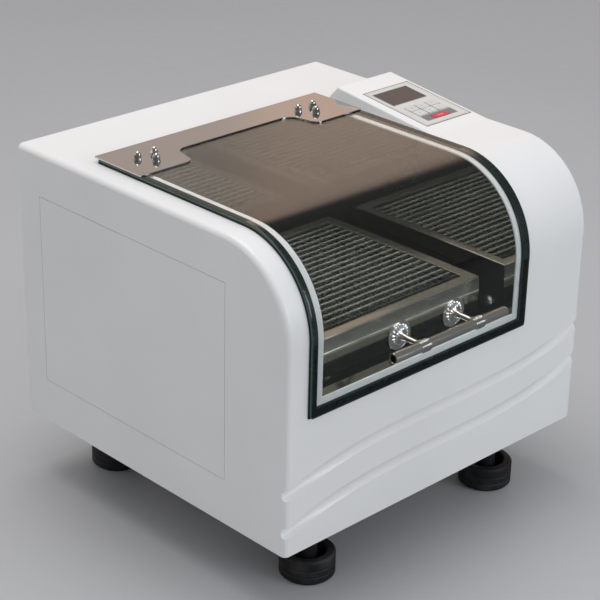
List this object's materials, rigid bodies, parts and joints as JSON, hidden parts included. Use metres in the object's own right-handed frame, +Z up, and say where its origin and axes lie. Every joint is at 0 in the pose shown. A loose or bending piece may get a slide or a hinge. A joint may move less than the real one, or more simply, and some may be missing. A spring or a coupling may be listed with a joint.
{
  "type": "incubated benchtop shaker",
  "caption": "White benchtop incubator shaker with a hinged bent-glass lid, a steel chamber, a spring-rack platform that orbits, a sloping keypad and rubber feet.",
  "frame": {"origin": "middle of the overall outline, on the surface that the feet stand on", "axes": "+X to the right as seen from the front, +Y from the handle to the rear, +Z up"},
  "size_m": [0.6, 0.6222, 0.5513],
  "materials": {
    "white_enamel": "smooth white enamel",
    "dark_enamel": "black enamel",
    "foot_rubber": "matt black",
    "gasket_rubber": "satin black",
    "belt_rubber": "matt black",
    "polished_steel": "mirror polished",
    "rack_steel": "satin polished",
    "spring_steel": "bright drawn wire",
    "lid_glass": "clear with a green edge",
    "tinted_plate": "pinkish brown anodised",
    "chrome": "bright chrome",
    "zinc_steel": "zinc plated",
    "machined_steel": "ground",
    "cast_metal": "grey primer",
    "pulley_alloy": "turned",
    "motor_enamel": "grey enamel",
    "label_film": "satin film",
    "display_tint": "smoked window",
    "key_film": "satin film",
    "start_film": "red film",
    "board_laminate": "green laminate",
    "black_plastic": "moulded"
  },
  "bodies": {
    "casing": {"casing_shell": "white_enamel", "left_service_panel": "white_enamel", "right_service_panel": "white_enamel", "base_pan": "dark_enamel", "foot_posts": "dark_enamel", "foot_cups": "foot_rubber", "rear_panel": "white_enamel", "rear_screws": "zinc_steel", "power_inlet": "black_plastic", "chamber_liner": "polished_steel", "floor_grille": "polished_steel", "liner_posts": "zinc_steel", "fan_duct": "zinc_steel", "heater_coil": "machined_steel", "fan_motor": "motor_enamel", "temperature_probe": "machined_steel", "body_hinge_leaves": "zinc_steel", "hinge_pins": "zinc_steel", "control_housing": "white_enamel", "membrane_panel": "label_film", "display_window": "display_tint", "control_board": "board_laminate", "main_bearing_housing": "cast_metal", "main_bearings": "machined_steel", "drive_belt": "belt_rubber", "drive_motor": "motor_enamel", "idler_blocks": "machined_steel"},
    "lid": {"lid_glass": "lid_glass", "lid_gasket": "gasket_rubber", "hinge_cover_plate": "tinted_plate", "acorn_nuts": "chrome", "hinge_bolts": "zinc_steel", "lid_hinge_leaves": "zinc_steel", "handle_rosettes": "chrome", "handle_posts": "chrome", "handle_collars": "chrome", "handle_washers": "zinc_steel", "handle_bar": "chrome"},
    "drive": {"crank_shaft": "machined_steel", "counterweight": "cast_metal", "driven_pulley": "pulley_alloy"},
    "platform": {"rack_frame": "rack_steel", "cross_springs": "spring_steel", "long_springs": "spring_steel", "carriage_tray": "rack_steel", "carriage_bearing": "machined_steel"},
    "motor_rotor": {"motor_pulley": "pulley_alloy"},
    "fan": {"circulation_fan": "pulley_alloy"},
    "rocker": {"rocker_switch": "black_plastic"},
    "idler_1": {"idler_crank_1": "machined_steel"},
    "idler_2": {"idler_crank_2": "machined_steel"},
    "idler_3": {"idler_crank_3": "machined_steel"},
    "key_1_cap": {"key_1": "key_film"},
    "key_2_cap": {"key_2": "key_film"},
    "key_3_cap": {"key_3": "key_film"},
    "key_4_cap": {"key_4": "key_film"},
    "key_5_cap": {"key_5": "key_film"},
    "key_6_cap": {"key_6": "key_film"},
    "start_key_cap": {"start_key": "start_film"}
  },
  "joints": [
    {"name": "lid_hinge", "type": "hinge", "parent": "casing", "child": "lid", "pos_m": [-0.05, 0.1791, 0.5313], "axis": [-1, 0, 0], "range_deg": [0, 80]},
    {"name": "drive_spin", "type": "hinge", "parent": "casing", "child": "drive", "pos_m": [-0.05, -0.043, 0.29], "axis": [0, 0, 1], "continuous": true},
    {"name": "platform_orbit", "type": "hinge", "parent": "drive", "child": "platform", "pos_m": [-0.05, -0.053, 0.351], "axis": [0, 0, 1], "continuous": true},
    {"name": "motor_spin", "type": "hinge", "parent": "casing", "child": "motor_rotor", "pos_m": [0.215, 0.017, 0.214], "axis": [0, 0, 1], "continuous": true},
    {"name": "fan_spin", "type": "hinge", "parent": "casing", "child": "fan", "pos_m": [-0.05, 0.1584, 0.37], "axis": [0, 1, 0], "continuous": true},
    {"name": "rocker_tilt", "type": "hinge", "parent": "casing", "child": "rocker", "pos_m": [0.23, 0.3046, 0.174], "axis": [-1, 0, 0], "range_deg": [0, 14]},
    {"name": "idler_1_spin", "type": "hinge", "parent": "casing", "child": "idler_1", "pos_m": [-0.17, -0.1386, 0.29], "axis": [0, 0, 1], "continuous": true},
    {"name": "idler_2_spin", "type": "hinge", "parent": "casing", "child": "idler_2", "pos_m": [0.07, -0.1386, 0.29], "axis": [0, 0, 1], "continuous": true},
    {"name": "idler_3_spin", "type": "hinge", "parent": "casing", "child": "idler_3", "pos_m": [-0.05, 0.0676, 0.29], "axis": [0, 0, 1], "continuous": true},
    {"name": "key_1_press", "type": "slide", "parent": "casing", "child": "key_1_cap", "axis": [0, 0.1161, -0.9932], "range_m": [0, 0.0004], "stiffness_N_per_m": 1500},
    {"name": "key_2_press", "type": "slide", "parent": "casing", "child": "key_2_cap", "axis": [0, 0.1161, -0.9932], "range_m": [0, 0.0004], "stiffness_N_per_m": 1500},
    {"name": "key_3_press", "type": "slide", "parent": "casing", "child": "key_3_cap", "axis": [0, 0.1161, -0.9932], "range_m": [0, 0.0004], "stiffness_N_per_m": 1500},
    {"name": "key_4_press", "type": "slide", "parent": "casing", "child": "key_4_cap", "axis": [0, 0.1161, -0.9932], "range_m": [0, 0.0004], "stiffness_N_per_m": 1500},
    {"name": "key_5_press", "type": "slide", "parent": "casing", "child": "key_5_cap", "axis": [0, 0.1161, -0.9932], "range_m": [0, 0.0004], "stiffness_N_per_m": 1500},
    {"name": "key_6_press", "type": "slide", "parent": "casing", "child": "key_6_cap", "axis": [0, 0.1161, -0.9932], "range_m": [0, 0.0004], "stiffness_N_per_m": 1500},
    {"name": "start_key_press", "type": "slide", "parent": "casing", "child": "start_key_cap", "axis": [0, 0.1161, -0.9932], "range_m": [0, 0.0004], "stiffness_N_per_m": 1500}
  ],
  "couplings": [
    {"joint": "platform_orbit", "follows": "drive_spin", "ratio": -1},
    {"joint": "motor_spin", "follows": "drive_spin", "ratio": 2},
    {"joint": "idler_1_spin", "follows": "drive_spin", "ratio": 1},
    {"joint": "idler_2_spin", "follows": "drive_spin", "ratio": 1},
    {"joint": "idler_3_spin", "follows": "drive_spin", "ratio": 1}
  ]
}
